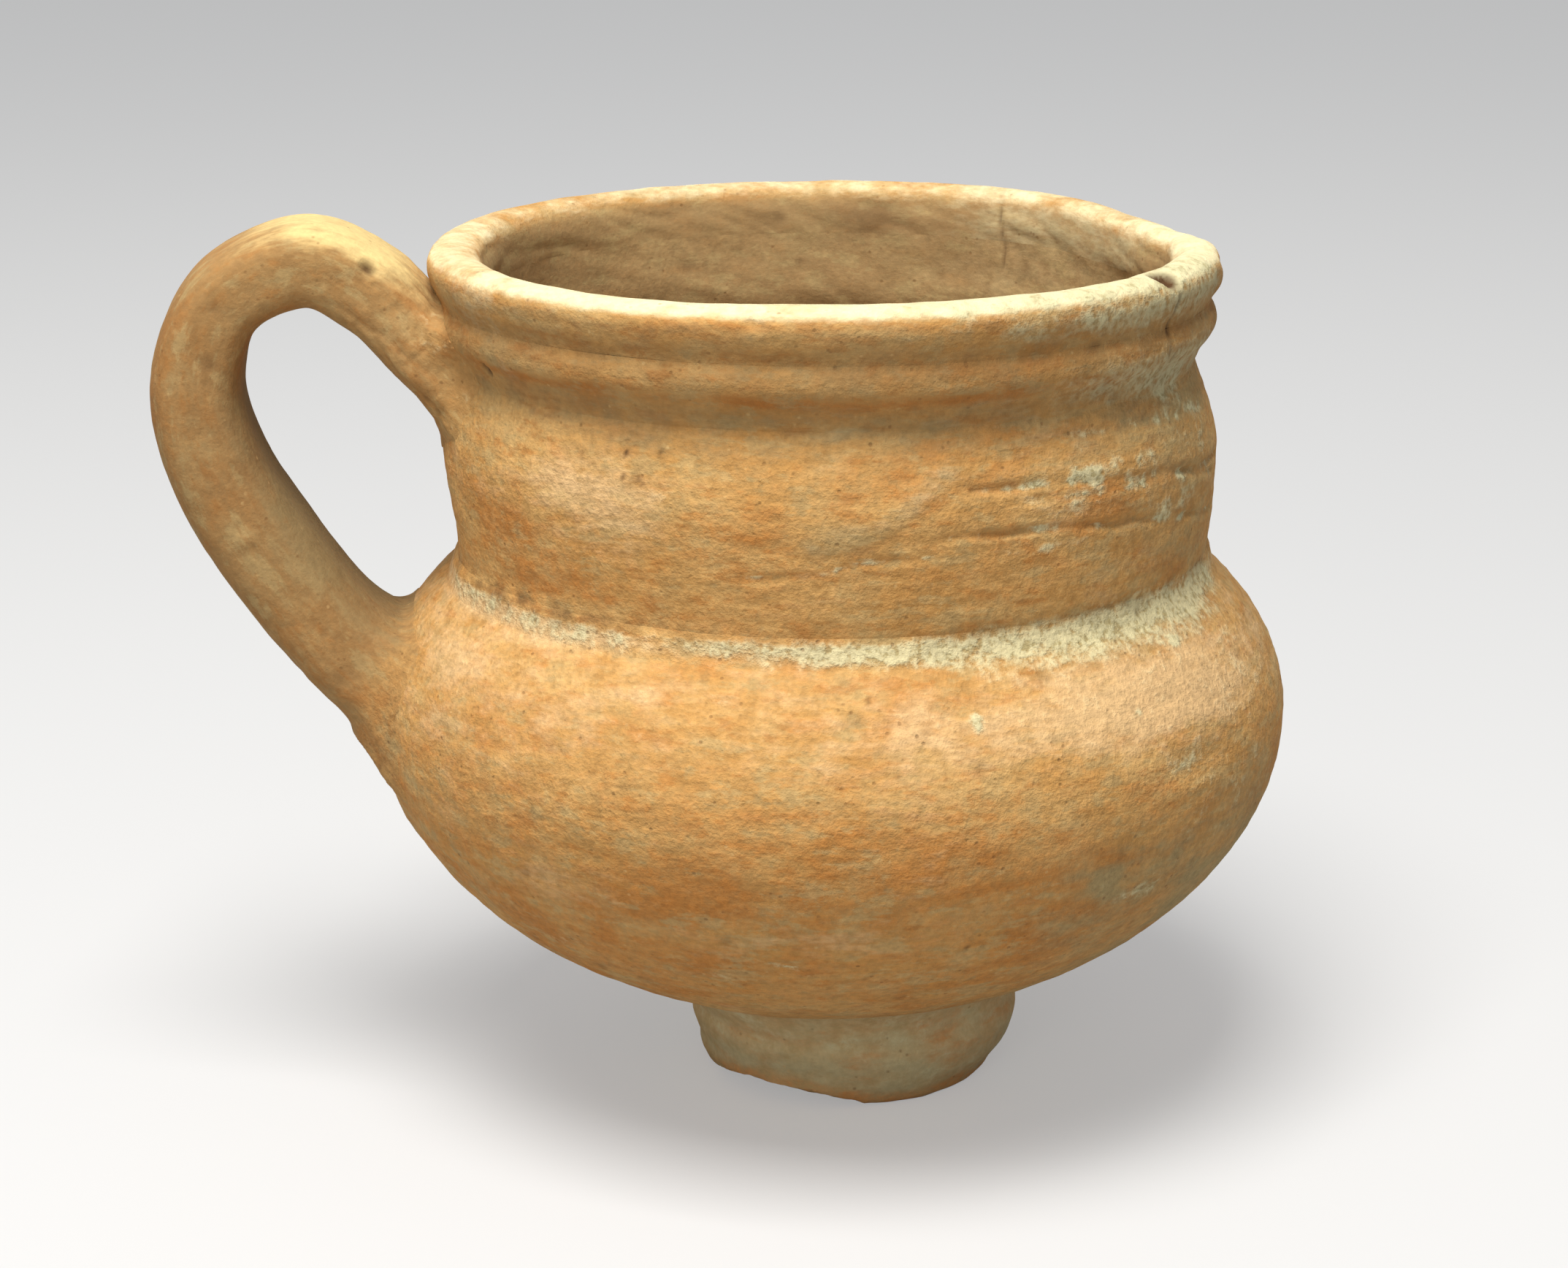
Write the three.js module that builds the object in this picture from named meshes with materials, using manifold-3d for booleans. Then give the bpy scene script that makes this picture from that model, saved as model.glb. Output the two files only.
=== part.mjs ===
// A small one-handled jar in fired clay.
//
// Millimetres, +Z up. The origin is on the turning axis, on the flat underside of the foot.
// The handle stands on the -X side, turned a little towards -Y.
// The jar is built the way a potter builds it, from elements that are formed one after another
// and luted together. Each element is a closed solid, with a hairline gap to the next one.

import * as THREE from 'three';
import { mergeVertices } from 'three/addons/utils/BufferGeometryUtils.js';
import Module from 'manifold-3d';

const wasm = await Module();
wasm.setup();

// Driving dimensions

const GAP = 0.3; // between elements that touch
const FACETS = 64; // round the turning axis

const FOOT_RADIUS = 18.2; // of the flat face that the jar rests on
const FOOT_OFFSET = 2; // the foot sits off the turning axis, towards +X
const FOOT_TOP = 14; // where the foot's side meets the belly
const CHIP_AZIMUTH = 240; // degrees, where the foot's edge has broken away
const CHIP_REACH = 4.2; // how far the chip comes in from the edge
const CHIP_SLOPE = 24; // degrees

const BELLY_RADIUS = 55;
const BELLY_HEIGHT = 46.7; // of the widest ring
const BELLY_DROP = 36.3; // vertical semi-axis below the widest ring
const BELLY_RISE = 31; // and above it
const BELLY_TOP = 64.6; // the joint under the collar
const WALL = 5;
const FLOOR = 5.8;

const NECK_RADIUS = 43.3;
const NECK_HEIGHT = 88.8;
const RIM_JOINT = 96.2; // top of the collar wall and of the cordon
const MOUTH_RADIUS = 40.3; // inside the lip
const LIP_CENTRE = 98.95; // height of the lip's roll
const LIP_HALF_WIDTH = 3.1;
const LIP_HALF_HEIGHT = 3.55;
const LIP_LEAN = 0.7; // the rim sits off the axis, towards -X

const HANDLE_AZIMUTH = 6.5; // degrees from -X towards -Y
const HANDLE_SIDES = 16;
const HANDLE_SQUARENESS = 3.4; // exponent of the section, where 2 is an ellipse

// The handle's centre line and section, from the rim down to the belly: distance from the axis,
// height, thickness in the plane of the handle, and width across it
const HANDLE_STATIONS = [
  [40.0, 86.5, 17.0, 24.0],
  [46.6, 91.0, 11.8, 20.5],
  [53.5, 97.6, 10.3, 18.4],
  [61.3, 101.1, 9.9, 17.8],
  [70.3, 97.0, 9.4, 18.2],
  [74.1, 87.5, 11.2, 18.8],
  [72.1, 77.4, 11.7, 19.2],
  [66.3, 66.7, 12.3, 19.6],
  [58.9, 56.6, 12.3, 20.6],
  [52.5, 50.7, 15.2, 22.5],
  [47.0, 45.0, 21.0, 26.0],
];
const UPPER_ROOT_END = 0.22; // as a share of the stations, where the luted clay ends
const LOWER_ROOT_START = 0.8;

const CLAY = { roughness: 0.92, metalness: 0 };
const clays = {
  foot: new THREE.MeshStandardMaterial({ color: 0xa08a62, ...CLAY }),
  belly: new THREE.MeshStandardMaterial({ color: 0xc4945c, ...CLAY }),
  deposit: new THREE.MeshStandardMaterial({ color: 0xc9bd96, ...CLAY }),
  collar: new THREE.MeshStandardMaterial({ color: 0xb98b55, ...CLAY }),
  rim: new THREE.MeshStandardMaterial({ color: 0xc79a62, ...CLAY }),
  handle: new THREE.MeshStandardMaterial({ color: 0xbf9360, ...CLAY }),
};

// Outlines, as points of [radius, height]

const polar = (a, b, height, degrees) => {
  const angle = THREE.MathUtils.degToRad(degrees);
  return [a * Math.cos(angle), height + b * Math.sin(angle)];
};

function arc(a, b, height, from, to, steps) {
  const points = [];
  for (let i = 0; i <= steps; i++) {
    points.push(polar(a, b, height, from + ((to - from) * i) / steps));
  }
  return points;
}

function smooth(points, steps) {
  const curve = new THREE.SplineCurve(points.map(([r, z]) => new THREE.Vector2(r, z)));
  return curve.getPoints(steps).map(({ x, y }) => [x, y]);
}

// The belly's two quarter ellipses, one below and one above its widest ring
function bellyArcs(inset, drop, steps) {
  const radius = BELLY_RADIUS - inset;
  const top = THREE.MathUtils.radToDeg(Math.asin((BELLY_TOP - BELLY_HEIGHT) / BELLY_RISE));
  return [
    ...arc(radius, drop, BELLY_HEIGHT, -90, 0, steps),
    ...arc(radius, BELLY_RISE, BELLY_HEIGHT, 0, top, steps / 2).slice(1),
  ];
}

const footOutline = [
  [0, 0],
  ...smooth([[FOOT_RADIUS, 0], [19.3, 1.7], [20.1, 5], [20.2, 8.4], [22.8, FOOT_TOP]], 8),
  [0, FOOT_TOP],
];

const bellyOutline = [
  ...bellyArcs(0, BELLY_DROP, 14),
  ...bellyArcs(WALL, BELLY_DROP - FLOOR, 12).reverse(),
];

const collarOutside = smooth(
  [[44.8, 68.7], [45.6, 73.4], [46.0, 79.6], [44.8, 84.6], [NECK_RADIUS, NECK_HEIGHT]], 12);

const collarOutline = [
  [40.2, BELLY_TOP + GAP],
  [42.9, BELLY_TOP + GAP],
  [42.9, 67.4],
  ...collarOutside,
  [NECK_RADIUS - GAP, NECK_HEIGHT + GAP],
  [NECK_RADIUS - GAP, RIM_JOINT],
  ...smooth([[MOUTH_RADIUS - 0.2, RIM_JOINT], [39.2, 89], [41.0, 79], [40.2, BELLY_TOP + GAP]], 9),
];

const filletOutline = [
  [43.2, BELLY_TOP + GAP],
  [45.0, BELLY_TOP + GAP],
  [46.3, 63.9],
  [45.2, 65.7],
  [44.4, 67.2],
  [43.2, 67.2],
  [43.2, BELLY_TOP + GAP],
];

const cordonOutside = smooth(
  [[43.8, 89.8], [44.7, 91.2], [45.7, 92.7], [46.0, 94.1], [45.8, 95.3], [45.3, RIM_JOINT]], 8);

const cordonOutline = [
  [NECK_RADIUS, RIM_JOINT],
  [NECK_RADIUS, NECK_HEIGHT + 2 * GAP],
  ...cordonOutside,
  [NECK_RADIUS, RIM_JOINT],
];

const lipRadius = MOUTH_RADIUS + LIP_HALF_WIDTH;
const lipOutline = [
  [MOUTH_RADIUS - 0.2, RIM_JOINT + GAP],
  ...arc(LIP_HALF_WIDTH, LIP_HALF_HEIGHT, LIP_CENTRE, -43, 180, 12)
    .map(([r, z]) => [r + lipRadius, z]),
  [MOUTH_RADIUS - 0.2, RIM_JOINT + GAP],
];

// The outside of the whole jar, down to the axis, moved outwards by the hairline gap. The
// handle's roots are cut back with it.
const jarOutside = [
  [0, FOOT_TOP],
  ...bellyArcs(-GAP, BELLY_DROP + GAP, 14).filter(([, z]) => z > FOOT_TOP + 1),
  [45.9 + GAP, 65.2],
  [45.0 + GAP, 67.0],
  ...collarOutside.map(([r, z]) => [r + GAP, z]),
  ...cordonOutside.map(([r, z]) => [r + GAP, z]),
  ...arc(LIP_HALF_WIDTH + GAP, LIP_HALF_HEIGHT + GAP, LIP_CENTRE, -35, 90, 8)
    .map(([r, z]) => [r + lipRadius, z]),
  [0, LIP_CENTRE + LIP_HALF_HEIGHT + GAP],
];

// Solids

function solid(geometry) {
  geometry.deleteAttribute('normal');
  geometry.deleteAttribute('uv');
  const merged = mergeVertices(geometry, 1e-4);
  const corners = merged.index.array;
  const kept = [];
  for (let i = 0; i < corners.length; i += 3) {
    const [a, b, c] = corners.slice(i, i + 3);
    if (a !== b && b !== c && c !== a) kept.push(a, b, c);
  }
  return new wasm.Manifold(new wasm.Mesh({
    numProp: 3,
    vertProperties: new Float32Array(merged.attributes.position.array),
    triVerts: new Uint32Array(kept),
  }));
}

// Above the belly the wall leans a little, so that the rim's centre is off the axis
function lean(geometry) {
  const place = geometry.attributes.position;
  for (let i = 0; i < place.count; i++) {
    const share = (place.getZ(i) - BELLY_TOP) / (LIP_CENTRE - BELLY_TOP);
    place.setX(i, place.getX(i) - LIP_LEAN * Math.max(share, 0));
  }
  return geometry;
}

function turned(outline) {
  const points = outline.map(([r, z]) => new THREE.Vector2(r, z));
  return solid(lean(new THREE.LatheGeometry(points, FACETS).rotateX(Math.PI / 2)));
}

// A closed tube with its own section at each station, between two shares of the handle's length
function strap(from, to, steps) {
  const line = new THREE.SplineCurve(HANDLE_STATIONS.map(([s, z]) => new THREE.Vector2(s, z)));
  const size = new THREE.SplineCurve(HANDLE_STATIONS.map(([, , t, w]) => new THREE.Vector2(t, w)));
  const round = (value) => Math.sign(value) * Math.abs(value) ** (2 / HANDLE_SQUARENESS);
  const corners = [];
  for (let i = 0; i <= steps; i++) {
    const share = from + ((to - from) * i) / steps;
    const centre = line.getPoint(share);
    const along = line.getTangent(share);
    const { x: thickness, y: width } = size.getPoint(share);
    for (let j = 0; j < HANDLE_SIDES; j++) {
      const angle = (2 * Math.PI * j) / HANDLE_SIDES;
      const out = (thickness / 2) * round(Math.cos(angle));
      const across = (width / 2) * round(Math.sin(angle));
      corners.push(-centre.x + along.y * out, across, centre.y + along.x * out);
    }
  }
  const faces = [];
  const ring = (i, j) => i * HANDLE_SIDES + (j % HANDLE_SIDES);
  for (let i = 0; i < steps; i++) {
    for (let j = 0; j < HANDLE_SIDES; j++) {
      faces.push(ring(i, j), ring(i, j + 1), ring(i + 1, j));
      faces.push(ring(i, j + 1), ring(i + 1, j + 1), ring(i + 1, j));
    }
  }
  for (let j = 1; j < HANDLE_SIDES - 1; j++) {
    faces.push(ring(0, 0), ring(0, j + 1), ring(0, j));
    faces.push(ring(steps, 0), ring(steps, j), ring(steps, j + 1));
  }
  const geometry = new THREE.BufferGeometry();
  geometry.setAttribute('position', new THREE.Float32BufferAttribute(corners, 3));
  geometry.setIndex(faces);
  return solid(geometry.rotateZ(THREE.MathUtils.degToRad(HANDLE_AZIMUTH)));
}

// The broken edge of the foot, as a block whose upper face slopes up and outwards
function footChip() {
  const size = 40;
  const block = new THREE.BoxGeometry(size, size, size).translate(0, 0, -size / 2);
  block.rotateY(THREE.MathUtils.degToRad(-CHIP_SLOPE));
  block.translate(FOOT_RADIUS - CHIP_REACH, 0, 0);
  block.rotateZ(THREE.MathUtils.degToRad(CHIP_AZIMUTH));
  return solid(block.translate(FOOT_OFFSET, 0, 0));
}

const foot = turned(footOutline)
  .translate([FOOT_OFFSET, 0, 0])
  .subtract(turned([...bellyArcs(-GAP, BELLY_DROP + GAP, 14), [0, BELLY_TOP]]))
  .subtract(footChip());

const outside = turned(jarOutside);
const jointGap = GAP / 200; // of the handle's length

// Pieces

const jar = new THREE.Group();

function add(name, body, material) {
  const { vertProperties, triVerts, numProp } = body.getMesh();
  const geometry = new THREE.BufferGeometry();
  const places = new THREE.Float32BufferAttribute(vertProperties, numProp);
  geometry.setAttribute('position', places);
  geometry.setIndex(new THREE.BufferAttribute(triVerts, 1));
  geometry.computeVertexNormals();
  const mesh = new THREE.Mesh(geometry, material);
  mesh.name = name;
  jar.add(mesh);
}

add('foot', foot, clays.foot);
add('belly', turned(bellyOutline), clays.belly);
add('shoulder_fillet', turned(filletOutline), clays.deposit);
add('collar', turned(collarOutline), clays.collar);
add('cordon', turned(cordonOutline), clays.rim);
add('lip', turned(lipOutline), clays.rim);
add('handle_upper_root', strap(0, UPPER_ROOT_END, 8).subtract(outside), clays.handle);
add('handle', strap(UPPER_ROOT_END + jointGap, LOWER_ROOT_START - jointGap, 26), clays.handle);
add('handle_lower_root', strap(LOWER_ROOT_START, 1, 9).subtract(outside), clays.handle);

export default jar;
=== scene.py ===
"""The looks of a small one-handled clay jar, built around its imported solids.

Tables and shapes are in millimetres, and meshes in metres. Azimuths are degrees round the turning
axis, from +X towards +Y, so 270 faces the camera and 187 is the handle's side. Where
noise, octaves, creases or pits are called on points, the last number is the seed.
"""
import math
from types import SimpleNamespace

import bpy
import numpy as np
from mathutils import Matrix, Vector


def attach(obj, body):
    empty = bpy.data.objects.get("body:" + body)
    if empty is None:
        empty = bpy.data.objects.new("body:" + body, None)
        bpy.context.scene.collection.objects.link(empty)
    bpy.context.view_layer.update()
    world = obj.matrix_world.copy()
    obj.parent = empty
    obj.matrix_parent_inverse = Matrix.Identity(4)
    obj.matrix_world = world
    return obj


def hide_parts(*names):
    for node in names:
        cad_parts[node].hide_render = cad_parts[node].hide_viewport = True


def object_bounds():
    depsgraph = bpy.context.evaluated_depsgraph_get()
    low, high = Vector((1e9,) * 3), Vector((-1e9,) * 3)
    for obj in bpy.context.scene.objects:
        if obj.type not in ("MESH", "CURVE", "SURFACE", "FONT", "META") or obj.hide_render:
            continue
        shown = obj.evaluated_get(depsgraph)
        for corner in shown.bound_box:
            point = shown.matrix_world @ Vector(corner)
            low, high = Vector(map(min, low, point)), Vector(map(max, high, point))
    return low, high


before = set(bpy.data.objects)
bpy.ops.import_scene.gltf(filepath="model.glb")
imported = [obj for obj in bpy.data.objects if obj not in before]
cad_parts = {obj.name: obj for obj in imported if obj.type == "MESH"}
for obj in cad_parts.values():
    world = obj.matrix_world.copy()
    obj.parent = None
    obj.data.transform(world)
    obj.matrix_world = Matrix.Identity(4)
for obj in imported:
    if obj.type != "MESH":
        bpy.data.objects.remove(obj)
cad_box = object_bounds()
MM = 0.001

# Shape of the jar

BELLY_RADIUS = 54.8
BELLY_HEIGHT = 46.7
BELLY_DROP = 36.2
BELLY_RISE = 30.9
BELLY_TOP = 64.6
INSIDE_RADIUS = 50.0
INSIDE_DROP = 30.5
INSIDE_RISE = 31.0
POLE_ANGLE = -89.6
LIP_LEAN = 0.7
LIP_CENTRE = 98.95
LIP_MIDDLE = 43.5
RIM_RADIUS = 46.5
ROUND_COUNT = 600
SHARP_ANGLE = 62
HIDDEN_SPACING = 1.2

# How far the rim is out of true: drawn in on the right at the back, thicker on the left, higher at
# the back and lower on the right
DRAWN_IN = 1.25
THICKER = 0.9
BACK_RISE = 0.2
RIGHT_DROP = 0.75

COLLAR_OUTSIDE = [(43.6, 65.3), (44.2, 65.7), (44.7, 66.4), (45.05, 67.5), (45.35, 69.3), (45.65, 72.0),
                  (45.9, 75.6), (46.0, 79.4), (45.5, 82.6), (44.6, 85.6), (43.8, 87.9), (43.4, 89.3),
                  (43.1, 90.6)]
COLLAR_INSIDE = [(40.1, 96.3), (39.6, 91.5), (39.3, 88.5), (40.2, 84.0), (41.0, 79.0), (40.9, 73.0),
                 (40.3, BELLY_TOP)]
CORDON_OUTSIDE = [(42.9, 87.4), (43.4, 88.7), (43.8, 89.8), (44.25, 90.9), (44.8, 91.8), (45.45, 92.6),
                  (45.9, 93.5), (46.0, 94.4), (45.8, 95.3), (45.45, 95.95), (45.35, 96.4)]
CORDON_INSIDE = [(43.1, 96.4), (42.9, 90.0)]
LIP_OUTSIDE = [(45.35, 96.4), (45.45, 96.95), (45.8, 97.7), (46.2, 98.7), (46.45, 99.8), (46.4, 100.8),
               (45.95, 101.65), (45.1, 102.15), (44.0, 102.4), (42.8, 102.35), (41.7, 101.9),
               (40.9, 101.0), (40.45, 99.8), (40.2, 98.3), (40.1, 96.3)]
FILLET_OUTSIDE = [(47.7, 61.5), (46.9, 62.5), (46.0, 63.6), (45.35, 64.6), (45.0, 65.4), (44.85, 66.2),
                  (44.65, 67.2)]
FILLET_INSIDE = [(43.2, 67.2), (43.2, 64.9), (44.2, 64.5)]

# The handle's stations: distance from the axis, height, thickness and width
HANDLE_STATIONS = [
    (40.0, 86.4, 17.4, 24.0),
    (46.8, 90.7, 10.2, 20.8),
    (53.7, 97.7, 10.3, 18.4),
    (61.3, 101.05, 10.05, 17.6),
    (70.3, 97.0, 9.9, 18.0),
    (74.0, 87.5, 10.9, 18.6),
    (72.1, 77.4, 11.5, 19.0),
    (66.3, 66.7, 12.1, 19.4),
    (58.9, 56.6, 12.0, 20.4),
    (52.5, 50.7, 15.0, 22.5),
    (47.2, 43.5, 23.0, 26.0),
]
# How far the end of the handle stands out from the belly: height and distance
HANDLE_TAIL = [(36.0, -3.0), (38.6, -1.4), (39.8, 0.3), (41.2, 1.2), (43.1, 1.9), (44.9, 3.0),
               (46.8, 5.0), (48.7, 7.8), (50.4, 12.0), (52.0, 30.0)]
HANDLE_AZIMUTH = 6.5
HANDLE_SQUARENESS = 3.4
HANDLE_RINGS = 380
HANDLE_SIDES = 96
UPPER_ROOT_END = 0.22
LOWER_ROOT_START = 0.8
UNDER_WALL = 1.6

FOOT_OFFSET = 2.0
FOOT_RADIUS = 17.4
FOOT_SIDE = [(FOOT_RADIUS, 0.0), (18.0, 0.3), (18.6, 1.6), (19.3, 3.6), (20.0, 5.6), (20.2, 7.0),
             (19.9, 8.3), (20.2, 9.6)]
FOOT_KNEE = 21.2
FOOT_REACH = 25.0
FOOT_FORWARD = 0.4
FOOT_SIDES = 360
AXIS_GAP = 0.3
CHIP_AZIMUTH = 240
CHIP_SLOPE = 24
CHIP_START = 13.8
CHIP_TOP = 6

# Smooth noise

NOISE_GAIN = 1.7
random = np.random.default_rng(11)
ORDER = random.permutation(256)
SLOPES = random.normal(size=(256, 3))
SLOPES /= np.linalg.norm(SLOPES, axis=1)[:, None]
JITTER = random.random((256, 4))


def hashed(cell):
    first = ORDER[cell[:, 0] & 255]
    second = ORDER[(first + cell[:, 1]) & 255]
    return ORDER[(second + cell[:, 2]) & 255]


def noise(points, size, seed):
    """Smooth noise, about -1 to 1. size is one number or three, in millimetres."""
    place = points / np.asarray(size, float) + 31.7 * seed
    cell = np.floor(place).astype(int)
    rest = place - cell
    fade = rest**3 * (rest * (rest * 6 - 15) + 10)
    total = np.zeros(len(points))
    for corner in np.ndindex(2, 2, 2):
        share = np.prod(np.where(corner, fade, 1 - fade), axis=1)
        slope = SLOPES[hashed(cell + corner)]
        total += share * np.sum(slope * (rest - corner), axis=1)
    return total * NOISE_GAIN


def octaves(points, size, count, seed):
    """Several layers of noise, each half as wide and half as strong as the last."""
    size = np.asarray(size, float)
    return sum(noise(points, size / 2**i, seed + i) / 2**i for i in range(count))


def wander(points, size, seeds):
    """Noise in X, Y and Z, to push points about with."""
    return np.stack([noise(points, size, seed) for seed in seeds], axis=1)


def creases(points, size, seed):
    """1 along thin wandering lines, 0 away from them."""
    return np.clip(1 - 3.5 * np.abs(noise(points, size, seed)), 0, 1)


def pits(points, size, share, seed):
    """1 in the middle of small round pits, 0 outside. size is their spacing, share the part filled."""
    place = points / size + 17.3 * seed
    cell = np.floor(place).astype(int)
    best = np.zeros(len(points))
    for corner in np.ndindex(3, 3, 3):
        there = cell + np.array(corner) - 1
        lot = JITTER[hashed(there)]
        radius = 0.18 + 0.32 * lot[:, 3]
        away = np.linalg.norm(place - there - lot[:, :3], axis=1)
        depth = np.clip(1 - away / radius, 0, 1)
        wanted = (lot[:, 3] * 7.3) % 1 < share
        best = np.maximum(best, np.where(wanted, depth, 0))
    return best * best * (3 - 2 * best)


def step(value, low, high):
    share = np.clip((value - low) / (high - low), 0, 1)
    return share * share * (3 - 2 * share)


def near(value, middle, width):
    """1 at the middle, falling to 0 at width from it."""
    return step(1 - np.abs(value - middle) / width, 0, 1)


# Curves and meshes


def curve(points, shares):
    """Points on a smooth curve through the given ones, at shares of it from 0 to 1."""
    p = np.asarray(points, float)
    last = len(p) - 1
    place = np.asarray(shares, float) * last
    i = np.clip(np.floor(place).astype(int), 0, last - 1)
    t = (place - i)[:, None]
    a, b, c, d = p[np.maximum(i - 1, 0)], p[i], p[i + 1], p[np.minimum(i + 2, last)]
    return 0.5 * (2 * b + (c - a) * t + (2 * a - 5 * b + 4 * c - d) * t**2 + (3 * b - a - 3 * c + d) * t**3)


def even(line, spacing):
    """The same line with points about spacing apart."""
    along = np.concatenate([[0], np.cumsum(np.linalg.norm(np.diff(line, axis=0), axis=1))])
    wanted = np.linspace(0, along[-1], max(2, round(along[-1] / spacing) + 1))
    return np.stack([np.interp(wanted, along, line[:, k]) for k in range(line.shape[1])], axis=1)


def smooth(points, spacing):
    return even(curve(points, np.linspace(0, 1, 400)), spacing)


def arcs(radius, *pieces):
    """An outline round the belly's middle from arcs: rise, first and last angle, and spacing of each."""
    lines = []
    for rise, start, end, spacing in pieces:
        angle = np.radians(np.linspace(start, end, 600))
        line = np.stack([radius * np.cos(angle), BELLY_HEIGHT + rise * np.sin(angle)], axis=1)
        lines.append(even(line, spacing)[:-1])
    return np.vstack([*lines, line[-1:]])


def angle_at(height, rise):
    """Angle at which an arc round the belly's middle reaches a height, in degrees."""
    return math.degrees(math.asin((height - BELLY_HEIGHT) / rise))


def belly_height(x, y):
    """Height of the belly's underside."""
    radius = np.hypot(x, y)
    return BELLY_HEIGHT - BELLY_DROP * np.sqrt(np.clip(1 - (radius / BELLY_RADIUS) ** 2, 0, 1))


def azimuth_of(points):
    return np.degrees(np.arctan2(points[..., 1], points[..., 0])) % 360


def lean(points):
    """Moves the upper wall off the axis, and makes the rim uneven."""
    moved = points.copy()
    rise = (points[..., 2] - BELLY_TOP) / (LIP_CENTRE - BELLY_TOP)
    moved[..., 0] -= LIP_LEAN * np.clip(rise, 0, None)
    azimuth = azimuth_of(points)
    high = step(points[..., 2], 92, 98)
    drawn = step(azimuth, 7, 14) * (1 - step(azimuth, 22, 58)) * high
    moved[..., :2] *= (1 - DRAWN_IN / RIM_RADIUS * drawn)[..., None]
    inner_edge = step(LIP_MIDDLE - np.hypot(points[..., 0], points[..., 1]), 0, 2.5) * high
    moved[..., :2] *= (1 - THICKER / RIM_RADIUS * inner_edge * near(azimuth, 185, 55))[..., None]
    low = np.where(azimuth > 180, step(azimuth, 344, 356), 1 - step(azimuth, 29, 45)) * high
    back = step(np.sin(np.radians(azimuth)), -0.1, 0.6)
    moved[..., 2] += (BACK_RISE * back - RIGHT_DROP * low) * high
    return moved


def normals_of(grid):
    """Unit normals of a grid of points that closes round on itself."""
    along = np.gradient(grid, axis=0)
    around = np.roll(grid, -1, axis=1) - np.roll(grid, 1, axis=1)
    normal = np.cross(around, along)
    return normal / np.maximum(np.linalg.norm(normal, axis=2, keepdims=True), 1e-9)


def build(name, rings, loop, masks, material, node):
    """One closed mesh from rings of points: a loop of rings, or capped by a point at each end."""
    count, around = rings.shape[:2]
    co = rings.reshape(-1, 3)
    ring = np.arange(count - (0 if loop else 1))[:, None]
    k = np.arange(around)[None, :]
    following = (ring + 1) % count
    quads = np.stack([ring * around + k, ring * around + (k + 1) % around,
                      following * around + (k + 1) % around, following * around + k], axis=2).reshape(-1, 4)
    corners, starts = [quads.ravel()], [np.arange(len(quads)) * 4]
    values = {key: mask.reshape(len(co), -1) for key, mask in masks.items()}
    if not loop:
        co = np.vstack([co, rings[0].mean(0), rings[-1].mean(0)])
        for key, mask in values.items():
            values[key] = np.vstack([mask, mask[:around].mean(0), mask[-around:].mean(0)])
        k = np.arange(around)
        low = np.stack([np.full(around, len(co) - 2), (k + 1) % around, k], axis=1)
        top = (count - 1) * around
        high = np.stack([np.full(around, len(co) - 1), top + k, top + (k + 1) % around], axis=1)
        fans = np.vstack([low, high])
        corners.append(fans.ravel())
        starts.append(len(quads) * 4 + np.arange(len(fans)) * 3)
    corners, starts = np.concatenate(corners), np.concatenate(starts)
    box_low, box_high = (np.array(c) for c in cad_box)
    co = np.clip(co * MM, box_low, box_high)

    mesh = bpy.data.meshes.new(name)
    mesh.vertices.add(len(co))
    mesh.vertices.foreach_set("co", co.astype(np.float32).ravel())
    mesh.loops.add(len(corners))
    mesh.loops.foreach_set("vertex_index", corners.astype(np.int32))
    mesh.polygons.add(len(starts))
    mesh.polygons.foreach_set("loop_start", starts.astype(np.int32))
    mesh.update(calc_edges=True)
    mesh.validate()
    for key, mask in values.items():
        kind, field = ("FLOAT_VECTOR", "vector") if mask.shape[1] == 3 else ("FLOAT", "value")
        layer = mesh.attributes.new(key, kind, "POINT")
        layer.data.foreach_set(field, mask.astype(np.float32).ravel())
    mesh.shade_smooth()
    mesh.set_sharp_from_angle(angle=math.radians(SHARP_ANGLE))
    mesh.materials.append(material)
    piece = bpy.data.objects.new(name, mesh)
    bpy.context.scene.collection.objects.link(piece)
    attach(piece, "root")
    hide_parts(node)


# Marks on the surface, placed by azimuth and height

MARK_RADIUS = 46.0

# Each groove that the wheel left: its line, its half width and its depth
WHEEL_GROOVES = [
    ([(290, 82.5), (300, 82.2), (314, 81.3), (328, 80.2), (341, 78.9), (352, 78.2)], 0.75, 0.36),
    ([(298, 80.7), (306, 80.5), (320, 80.0), (332, 79.4), (346, 77.2)], 0.6, 0.26),
    ([(280, 77.4), (302, 77.3), (320, 75.7), (338, 73.6), (350, 72.4)], 0.75, 0.32),
    ([(258, 73.0), (266, 73.8), (275, 75.1), (284, 75.6)], 0.7, 0.2),
    ([(300, 86.9), (322, 86.6), (345, 85.0)], 0.8, 0.2),
]
GROOVE_DEPTH = 1.45
RIDGE = [(268, 77.0), (276, 78.6), (281, 81.0), (287, 84.4)]
RIDGE_EDGE = [(274, 76.3), (281, 78.8), (286, 81.6), (294, 84.6)]
LIP_CRACK = [(327.4, 101.8), (327.9, 99.6), (326.9, 97.0), (326.6, 93.2)]
LIP_HOLE = (37.4, -24.6, 101.7)
INNER_CRACK = [(56.8, 102.0), (56.4, 99.0), (55.4, 96.0), (55.0, 93.0)]
NICK = [(262.4, 30.4), (264, 30.0), (266, 29.8)]
CREASED_SIDE = (232, 49, 26, 12)

# Soft spots on the outside: azimuth, height, half width, half height and how far each stands out
BUMPS = [
    (182, 70.0, 18, 11, -1.3),
    (184, 80.0, 15, 9, -0.3),
    (350, 99.6, 4.5, 2.6, 0.3),
    (318.4, 49.8, 9, 3.2, -0.5),
    (288.0, 58.2, 0.9, 1.5, 0.35),
    (187, 35.0, 13, 6, 0.5),
]

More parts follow.
